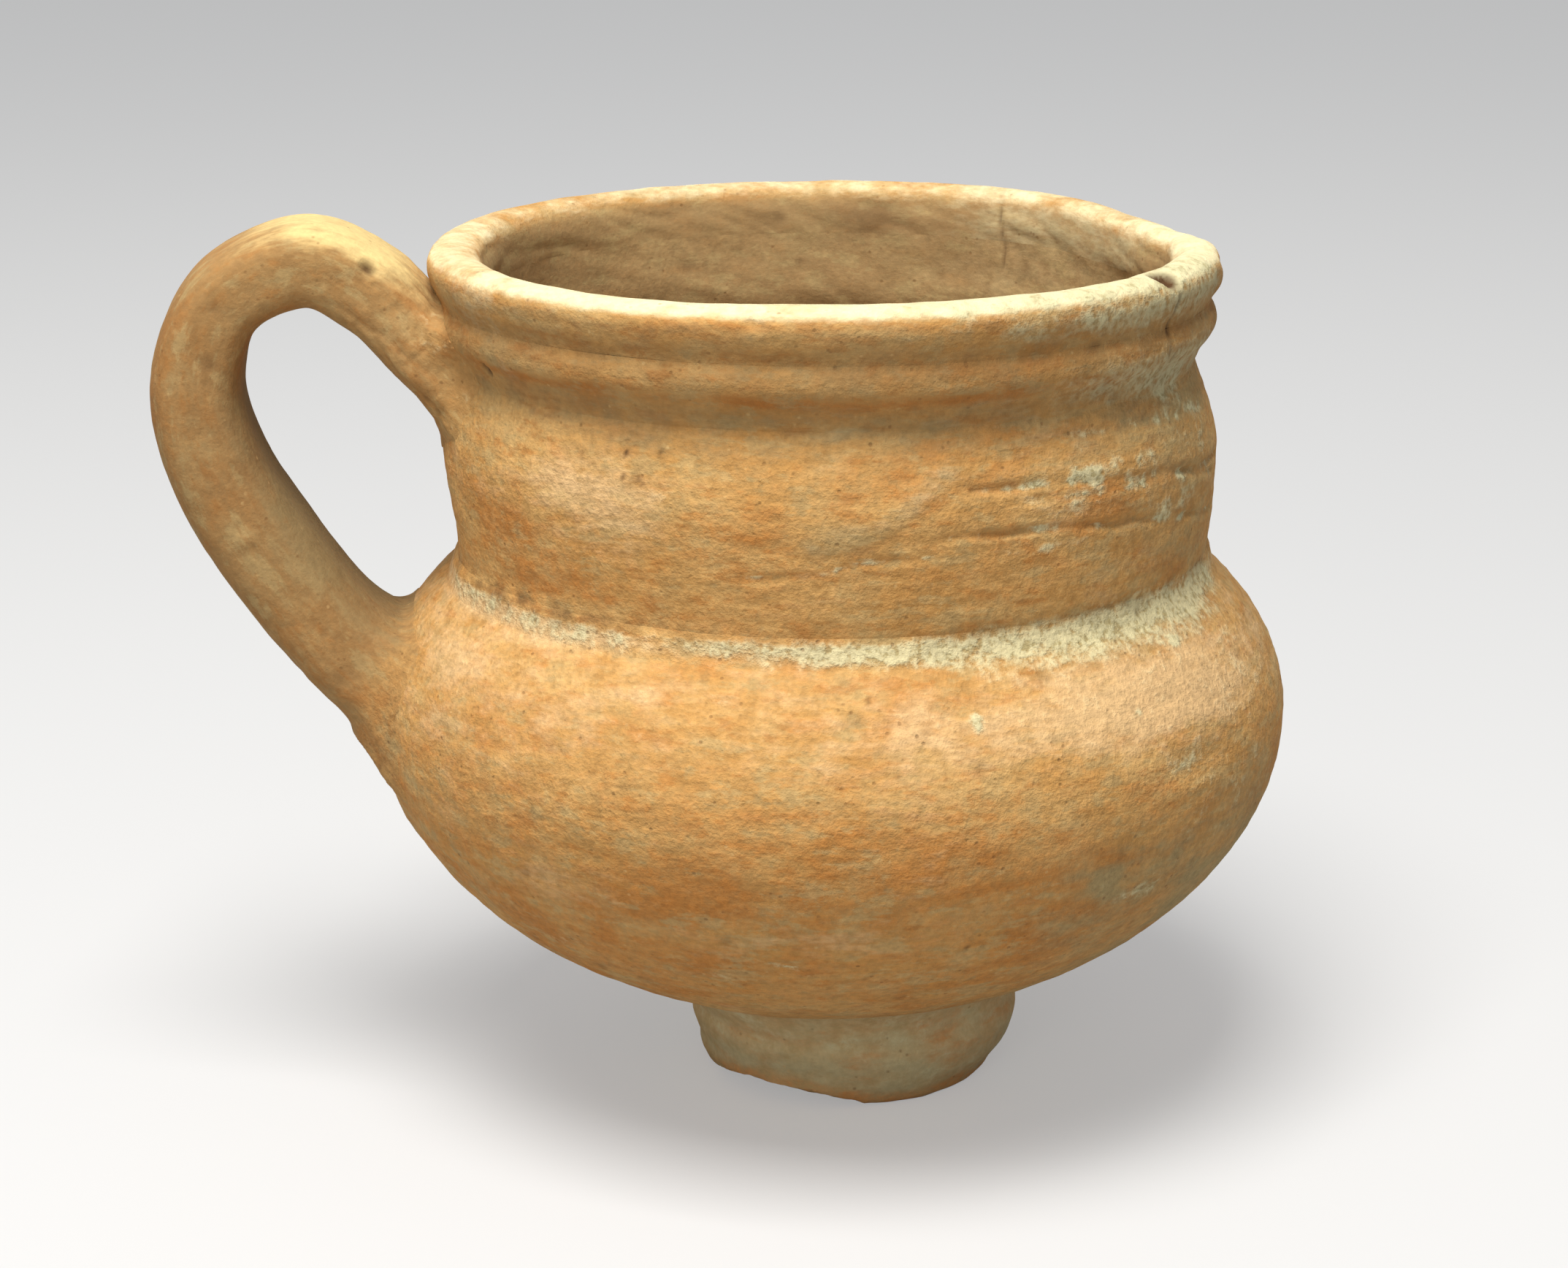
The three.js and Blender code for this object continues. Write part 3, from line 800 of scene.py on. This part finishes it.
def foot_piece():
    """The solid foot: flat below with a broken edge, flared, and drawn in under the belly."""
    angle = whole_turn(FOOT_SIDES)
    co, si = np.cos(angle), np.sin(angle)
    side = smooth(FOOT_SIDE, 0.42)
    base = even(np.array([[AXIS_GAP, 0.0], [FOOT_RADIUS, 0.0]]), 0.8)[:-1]
    flat = np.vstack([base, side])
    t = np.linspace(0, 1, 20)[1:, None]
    top = belly_height(FOOT_OFFSET + FOOT_REACH * co, FOOT_REACH * si) - 0.02
    nearer = belly_height(FOOT_OFFSET + (FOOT_REACH - 1) * co, (FOOT_REACH - 1) * si) - 0.02
    knee_height = top - (top - nearer) * (FOOT_REACH - FOOT_KNEE)
    bend_r = all_round(bend(t, side[-1, 0], FOOT_KNEE, FOOT_REACH), FOOT_SIDES)
    bend_z = bend(t, side[-1, 1], knee_height, top)
    under = all_round(np.linspace(FOOT_REACH, AXIS_GAP, 18)[1:], FOOT_SIDES)
    under_z = belly_height(FOOT_OFFSET + under * co, under * si) + 0.6 * step(FOOT_REACH - under, 0, 2)
    r = np.vstack([all_round(flat[:, 0], FOOT_SIDES), bend_r, under])
    z = np.vstack([all_round(flat[:, 1], FOOT_SIDES), bend_z, under_z])
    forward = FOOT_FORWARD * (1 - step(z, 0, 5))
    shift = FOOT_OFFSET + 1.0 * step(z, 0.8, 4) * (1 - step(z, 7.5, 11))
    rings = np.stack([shift + r * co, r * si - forward, z], axis=2)
    shape = rings.shape[:2]
    p = rings.reshape(-1, 3)
    normal = normals_of(rings).reshape(-1, 3)
    normal *= np.sign(np.sum(normal * (p - np.array([FOOT_OFFSET, 0, 6]))))
    uneven = np.concatenate([np.zeros(len(base)), np.ones(len(side)),
                             1 - 0.8 * np.linspace(0, 1, len(bend_r)), np.zeros(len(under))])
    height = 0.22 * noise(p, 9, 80) + 0.10 * noise(p, 4, 81) + 0.04 * octaves(p, 1.8, 2, 82)
    p = p + normal * (height * all_round(uneven, FOOT_SIDES).ravel())[:, None]

    x = p[:, 0] - FOOT_OFFSET
    away = np.hypot(x, p[:, 1])
    around = np.arctan2(p[:, 1], x)
    ahead = away * np.cos(math.radians(CHIP_AZIMUTH) - around)
    cut = math.tan(math.radians(CHIP_SLOPE)) * (ahead - CHIP_START)
    cut += 0.25 * noise(p, 3.2, 84) + 0.12 * noise(p, 1.3, 85)
    worn = 0.8 * np.clip((4.2 - p[:, 2]) / 3.2, 0, 1) ** 2 * near(np.degrees(around) % 360, 205, 55)
    p[:, :2] -= (worn / np.maximum(away, 1))[:, None] * np.stack([x, p[:, 1]], axis=1)
    shows = all_round(np.arange(shape[0]) < len(flat) + len(bend_r), FOOT_SIDES).ravel()
    raised = np.maximum(p[:, 2], np.minimum(cut, CHIP_TOP))
    p[:, 2] = np.maximum(np.where(shows, raised, p[:, 2]), 0)

    fine = octaves(p, 3.5, 3, 86)
    above_edge = p[:, 2] - np.clip(cut, 0, CHIP_TOP)
    edge = step(2.4 - above_edge + 0.9 * noise(p, 5, 89), 0, 1.8)
    edge = np.maximum(edge, 0.8 * dent(p, (22.8, -3.0, 6.6), 3.0))
    coat = (0.62 + 0.35 * noise(p, 8, 88) + 0.2 * fine) * step(above_edge, 0, 1.5)
    masks = {
        "stain_and_shade": 0.55 * edge + 0.2 * np.clip(fine, 0, 1),
        "pale": 0.3 * np.clip(noise(p, 7, 90), 0, 1),
        "deposit": 0.35 * (1 - edge) * np.clip(0.6 + noise(p, 6, 91), 0, 1),
        "dark": 0.2 * pits(p, 2.2, 0.2, 9),
        "grey": coat * (1 - 0.85 * edge) * (1 - 0.6 * step(p[:, 2], 10, 13)),
    }
    shaped = {key: np.clip(value, 0, 1.2).reshape(*shape, 1) for key, value in masks.items()}
    shaped["flow"] = (p * MM * np.array([1, 1, 3.0])).reshape(*shape, 3)
    build("foot_block", p.reshape(*shape, 3), False, shaped, foot_clay, "foot")


# Materials

# Colours of the clay and of what lies on it, as 8-bit display levels
BODY = (202, 150, 84)
LIGHT = (216, 172, 108)
STAIN_AND_SHADE = (190, 124, 58)
PALE = (228, 189, 136)
CRUST = (218, 210, 166)
CHALK = (188, 176, 128)
JOINED = (208, 160, 96)
GREY = (166, 148, 104)
INNER = (166, 139, 98)
VEIL = (200, 174, 120)
DARK = (92, 64, 38)
DARK_FLECK = (124, 84, 46)
PALE_FLECK = (228, 192, 132)


def display(*levels):
    """The linear colour of 8-bit display levels."""
    return [*(((v / 255 + 0.055) / 1.055) ** 2.4 for v in levels), 1.0]


class Paint:
    """Adds nodes to an empty node tree with short calls."""

    def __init__(self, owner):
        owner.use_nodes = True
        self.tree = owner.node_tree
        self.tree.nodes.clear()

    def node(self, kind, settings=None, **inputs):
        """A node. An input is named, or is i with its number."""
        made = self.tree.nodes.new(kind)
        for key, value in (settings or {}).items():
            setattr(made, key, value)
        for key, value in inputs.items():
            self.put(made.inputs[int(key[1:]) if key[0] == "i" and key[1:].isdigit() else key], value)
        return made

    def put(self, socket, value):
        if isinstance(value, bpy.types.NodeSocket):
            self.tree.links.new(value, socket)
        else:
            socket.default_value = value

    def mask(self, name, output="Fac"):
        return self.node("ShaderNodeAttribute", {"attribute_name": name}).outputs[output]

    def noise(self, coordinates, size, detail, roughness=0.55):
        return self.node("ShaderNodeTexNoise", Vector=coordinates, Scale=1 / (size * MM), Detail=detail,
                         Roughness=roughness).outputs["Fac"]

    def ramp(self, value, low, high, to_low=0.0, to_high=1.0):
        return self.node("ShaderNodeMapRange", {"interpolation_type": "SMOOTHSTEP"}, i0=value, i1=low,
                         i2=high, i3=to_low, i4=to_high).outputs[0]

    def math(self, operation, a, b, c=0.0):
        return self.node("ShaderNodeMath", {"operation": operation}, i0=a, i1=b, i2=c).outputs[0]

    def uneven(self, value, *layers):
        """A value with layers of noise added to it, each by its own amount."""
        for layer, amount in layers:
            value = self.math("ADD", value, self.math("MULTIPLY_ADD", layer, amount, -amount / 2))
        return value

    def mix(self, share, below, above):
        return self.node("ShaderNodeMix", {"data_type": "RGBA"}, i0=share, i6=below, i7=above).outputs[2]

    def lay(self, share, below, levels):
        """A colour with another one, given by its display levels, laid over a share of it."""
        return self.mix(share, below, display(*levels))


def clay_layers(paint):
    """The noise and masks that the clay's colour and fine relief share."""
    place = paint.node("ShaderNodeTexCoord").outputs["Object"]
    flow = paint.mask("flow", "Vector")
    on = SimpleNamespace(place=place, inside=paint.mask("inner"), at_joint=paint.mask("joined"))
    on.outer = paint.math("MULTIPLY_ADD", on.inside, -0.8, 1.0)
    on.grain = paint.noise(place, 0.85, 3, 0.6)
    on.mottle = paint.noise(place, 2.6, 4, 0.6)
    on.broad = paint.noise(place, 12.0, 3, 0.5)
    on.cloud = paint.noise(place, 6.0, 6, 0.72)
    on.streaks = paint.noise(flow, 4.5, 4, 0.6)
    on.long_streaks = paint.noise(flow, 15.0, 3, 0.55)
    on.drawn = paint.noise(flow, 1.7, 3, 0.6)
    on.wisps = paint.noise(flow, 6.5, 6, 0.7)
    crusted = paint.uneven(paint.mask("deposit"), (on.grain, 0.9), (on.streaks, 0.6), (on.mottle, 0.7))
    on.crust = paint.ramp(crusted, 0.25, 0.95, 0, 0.85)
    cells = paint.node("ShaderNodeTexVoronoi", {"feature": "F1"}, Vector=place, Scale=1 / (1.5 * MM))
    close = paint.ramp(cells.outputs["Distance"], 0.05, 0.2, 1, 0)
    some = paint.noise(place, 5.0, 1)
    on.dark_fleck = paint.math("MULTIPLY", close, paint.ramp(some, 0.5, 0.62))
    pale_fleck = paint.math("MULTIPLY", close, paint.ramp(some, 0.48, 0.36))
    on.pale_fleck = paint.math("MULTIPLY", pale_fleck, on.outer)
    return on


def clay_colour(paint, on, body, light, stain_and_shade, pale, crust, grey, grit):
    """The clay's colours laid over each other, from its body to its flecks."""
    grain, mottle, streaks, drawn = on.grain, on.mottle, on.streaks, on.drawn
    tone = paint.uneven(0.5, (on.broad, 2.0), (streaks, 1.2), (mottle, 0.9))
    colour = paint.lay(paint.ramp(tone, 0.0, 1.0), display(*body), light)
    colour = paint.lay(on.at_joint, colour, JOINED)
    # The stain mask also holds the painted shade band under the cordon
    stained_and_shaded = paint.uneven(paint.mask("stain_and_shade"), (streaks, 1.4), (on.long_streaks, 0.9), (mottle, 0.9),
                           (grain, 0.5))
    colour = paint.lay(paint.ramp(stained_and_shaded, 0.1, 1.1, 0, 0.85), colour, stain_and_shade)
    colour = paint.lay(paint.math("MULTIPLY", on.inside, 0.75), colour, INNER)
    veiled = paint.uneven(0.3, (on.cloud, 3.2), (on.long_streaks, 1.2))
    colour = paint.lay(paint.ramp(veiled, 0.2, 1.1, 0, 0.42), colour, VEIL)
    hue = paint.uneven(on.wisps, (mottle, 0.5), (on.broad, 0.4))
    warm = paint.math("MULTIPLY", paint.ramp(hue, 0.52, 0.68, 0, 0.6), on.outer)
    colour = paint.lay(warm, colour, stain_and_shade)
    colour = paint.lay(paint.ramp(hue, 0.48, 0.34, 0, 0.5), colour, VEIL)
    paleness = paint.uneven(paint.mask("pale"), (streaks, 1.1 * grit), (mottle, 0.7 * grit), (drawn, 0.5))
    colour = paint.lay(paint.ramp(paleness, 0.15, 1.0, 0, 0.88), colour, pale)
    greyed = paint.uneven(paint.mask("grey"), (mottle, 1.2), (streaks, 0.8))
    colour = paint.lay(paint.ramp(greyed, 0.1, 1.0, 0, 0.85), colour, grey)
    chalk = paint.lay(paint.ramp(grain, 0.34, 0.5), display(*CHALK), crust)
    colour = paint.mix(on.crust, colour, chalk)
    colour = paint.lay(paint.math("MULTIPLY", paint.mask("dark"), 0.75), colour, DARK)
    colour = paint.lay(paint.math("MULTIPLY", on.dark_fleck, 0.45), colour, DARK_FLECK)
    colour = paint.lay(paint.math("MULTIPLY", on.pale_fleck, 0.4), colour, PALE_FLECK)
    swing = paint.math("MULTIPLY_ADD", on.inside, -0.06 * grit, 0.18 * grit)
    swing = paint.math("MULTIPLY_ADD", on.at_joint, 0.18 * (1 - grit), swing)
    value = paint.ramp(paint.uneven(0.5, (grain, 1.0), (drawn, 0.25), (mottle, 0.5)), 0.2, 0.8, -1.0, 1.0)
    value = paint.math("MULTIPLY_ADD", value, swing, 1.0)
    return paint.node("ShaderNodeHueSaturation", Value=value, Color=colour).outputs["Color"]


def clay_relief(paint, on, bump):
    """The relief that is too fine for the mesh."""
    micro = paint.noise(on.place, 0.4, 2, 0.6)
    rise = paint.uneven(0.5, (on.grain, 0.9), (on.drawn, 0.3), (micro, 0.4), (on.streaks, 0.45),
                        (on.mottle, 1.0))
    rise = paint.math("MULTIPLY_ADD", on.crust, 0.4, rise)
    rise = paint.math("MULTIPLY_ADD", on.dark_fleck, -0.35, rise)
    strength = paint.math("MULTIPLY_ADD", on.inside, -0.55 * bump, 0.85 * bump)
    strength = paint.math("MULTIPLY_ADD", on.at_joint, 0.85 * (1 - bump), strength)
    bumped = paint.node("ShaderNodeBump", Strength=strength, Distance=0.3 * MM, Height=rise)
    return bumped.outputs["Normal"]


def clay(name, body=BODY, light=LIGHT, stain_and_shade=STAIN_AND_SHADE, pale=PALE, crust=CRUST, grey=GREY, bump=1.0, grit=1.0):
    """Unglazed clay. bump is the strength of its fine relief, and grit of its fine light and dark."""
    material = bpy.data.materials.new(name)
    paint = Paint(material)
    on = clay_layers(paint)
    colour = clay_colour(paint, on, body, light, stain_and_shade, pale, crust, grey, grit)
    rough = paint.ramp(on.mottle, 0.3, 0.7, 0.82, 0.95)
    shader = paint.node("ShaderNodeBsdfPrincipled", Roughness=rough, Normal=clay_relief(paint, on, bump),
                        **{"Base Color": colour, "Specular IOR Level": 0.25})
    paint.node("ShaderNodeOutputMaterial", Surface=shader.outputs[0])
    return material


body_clay = clay("body_clay")
# The rim's pale is near white: partly worn clay, partly a painted highlight on the lip's top
rim_clay = clay("rim_clay", pale=(252, 238, 192), bump=0.8, grit=0.7)
# The handle's pale is a painted highlight on the top of its arch
handle_clay = clay("handle_clay", (168, 128, 78), (184, 146, 94), (172, 118, 62), (240, 212, 146), bump=0.42,
                   grit=0.6)
foot_clay = clay("foot_clay", (208, 172, 120), (216, 184, 132), (216, 148, 84), (220, 198, 150),
                 (212, 208, 170), (212, 198, 152), 0.5, 0.5)
pale_deposit = clay("pale_deposit", bump=1.2)

# The jar

belly_outside = arcs(BELLY_RADIUS, (BELLY_DROP, POLE_ANGLE, -68, 2.2), (BELLY_DROP, -68, -40, 0.88),
                     (BELLY_DROP, -40, 0, 0.55), (BELLY_RISE, 0, angle_at(BELLY_TOP, BELLY_RISE), 0.55))
belly_inside = arcs(INSIDE_RADIUS, (INSIDE_RISE, angle_at(BELLY_TOP, INSIDE_RISE), 0, 1.7),
                    (INSIDE_DROP, 0, POLE_ANGLE, 3.0))
turned("belly_wall", [belly_outside, belly_inside], body_clay, "belly", loop=False)
turned("shoulder_filling", [smooth(FILLET_OUTSIDE, 0.36), FILLET_INSIDE], pale_deposit,
       "shoulder_fillet")
turned("collar_wall", [smooth(COLLAR_OUTSIDE, 0.42), smooth(COLLAR_INSIDE, 0.9)], body_clay, "collar")
turned("cordon_band", [smooth(CORDON_OUTSIDE, 0.38), CORDON_INSIDE], rim_clay, "cordon")
turned("rolled_lip", [smooth(LIP_OUTSIDE, 0.38)], rim_clay, "lip")
handle_pieces()
foot_piece()

# Floor and backdrop

# The floor lies just under the foot. It is open under the flat of the foot, where the foot hides it, so
# that the flat isn't black from below
FLOOR_DROP = 0.05
FLOOR_RADIUS = 5.0
FLOOR_SHIFT = 1.5
OPENING_RADIUS = 16.8
OPENING_TO_CHIP = 13.0
FLOOR_GREY = (0.42, 0.42, 0.42, 1)
SHOWN_GREY = (0.5, 0.5, 0.5, 1)
SHOWN_GLOW = 0.32
AMBIENT = 0.32
SKY = (0.95, 0.97, 1.0, 1)
WHITE = (1, 1, 1, 1)

turns = whole_turn(120)
round_about = np.stack([np.cos(turns), np.sin(turns)], axis=1)
to_chip = OPENING_TO_CHIP / np.maximum(np.cos(turns - math.radians(CHIP_AZIMUTH)), 0.01)
opening = np.minimum(OPENING_RADIUS, to_chip)[:, None] * round_about
opening = (opening + [FOOT_OFFSET, -FOOT_FORWARD]) * MM
far_edge = FLOOR_RADIUS * round_about + [0, FLOOR_SHIFT]
count = len(turns)
floor = bpy.data.meshes.new("floor")
floor.from_pydata([(x, y, -FLOOR_DROP * MM) for x, y in np.vstack([opening, far_edge]).tolist()], [],
                  [(k, count + k, count + (k + 1) % count, (k + 1) % count) for k in range(count)])
floor_piece = bpy.data.objects.new("floor", floor)
bpy.context.scene.collection.objects.link(floor_piece)
paper_material = bpy.data.materials.new("floor")
paper = Paint(paper_material)
seen = paper.node("ShaderNodeLightPath").outputs["Is Camera Ray"]
matt = paper.node("ShaderNodeBsdfDiffuse", Color=paper.mix(seen, FLOOR_GREY, SHOWN_GREY))
glow = paper.node("ShaderNodeEmission", Color=WHITE, Strength=paper.math("MULTIPLY", seen, SHOWN_GLOW))
lit = paper.node("ShaderNodeAddShader", i0=matt.outputs[0], i1=glow.outputs[0])
clear = paper.node("ShaderNodeBsdfTransparent")
below = paper.node("ShaderNodeNewGeometry").outputs["Backfacing"]
both = paper.node("ShaderNodeMixShader", i0=below, i1=lit.outputs[0], i2=clear.outputs[0])
paper.node("ShaderNodeOutputMaterial", Surface=both.outputs[0])
floor.materials.append(paper_material)

world = bpy.data.worlds.new("studio")
bpy.context.scene.world = world
sky = Paint(world)
rays = sky.node("ShaderNodeLightPath").outputs
seen = sky.math("MAXIMUM", rays["Is Camera Ray"], rays["Is Glossy Ray"])
seen = sky.math("MAXIMUM", seen, rays["Is Transmission Ray"])
ambient = sky.node("ShaderNodeBackground", Color=SKY, Strength=AMBIENT)
white = sky.node("ShaderNodeBackground", Color=WHITE)
choice = sky.node("ShaderNodeMixShader", i0=seen, i1=ambient.outputs[0], i2=white.outputs[0])
sky.node("ShaderNodeOutputWorld", Surface=choice.outputs[0])

# Lamps and camera

WARM_WHITE = (1.0, 0.98, 0.94)


def lamp(name, place, target, size, watts):
    """A square lamp that faces its target. Places and size are in metres."""
    data = bpy.data.lights.new(name, "AREA")
    data.size = size
    data.energy = watts
    data.color = WARM_WHITE
    made = bpy.data.objects.new(name, data)
    made.location = place
    made.rotation_mode = "QUATERNION"
    made.rotation_quaternion = (Vector(target) - Vector(place)).to_track_quat("-Z", "Y")
    bpy.context.scene.collection.objects.link(made)


lamp("key", (-0.10, -0.30, 0.85), (0, 0, 0.06), 0.45, 8.7)
lamp("fill", (-0.35, -0.9, 0.3), (0, 0, 0.04), 0.35, 1.1)

CAMERA_DISTANCE = 402.9
CAMERA_PITCH = 16.28
CAMERA_YAW = 0.79
LOOK_HEIGHT = 54.0
FOCAL_PIXELS = 4542
IMAGE_WIDTH = 2147
SENSOR = 36.0

camera = bpy.data.cameras.new("camera")
camera.sensor_width = SENSOR
camera.lens = FOCAL_PIXELS / IMAGE_WIDTH * SENSOR
camera.clip_start = 0.01
camera_piece = bpy.data.objects.new("camera", camera)
bpy.context.scene.collection.objects.link(camera_piece)
pitch, yaw = math.radians(CAMERA_PITCH), math.radians(CAMERA_YAW)
sight = Vector((0, math.cos(pitch), -math.sin(pitch)))
right = Vector((1, 0, 0)) * math.cos(yaw) + sight * math.sin(yaw)
ahead = sight * math.cos(yaw) - Vector((1, 0, 0)) * math.sin(yaw)
pose = Matrix((right, right.cross(ahead), -ahead)).transposed().to_4x4()
pose.translation = (Vector((0, 0, LOOK_HEIGHT)) - sight * CAMERA_DISTANCE) * MM
camera_piece.matrix_world = pose
bpy.context.scene.camera = camera_piece
bpy.context.scene.view_settings.view_transform = "Standard"
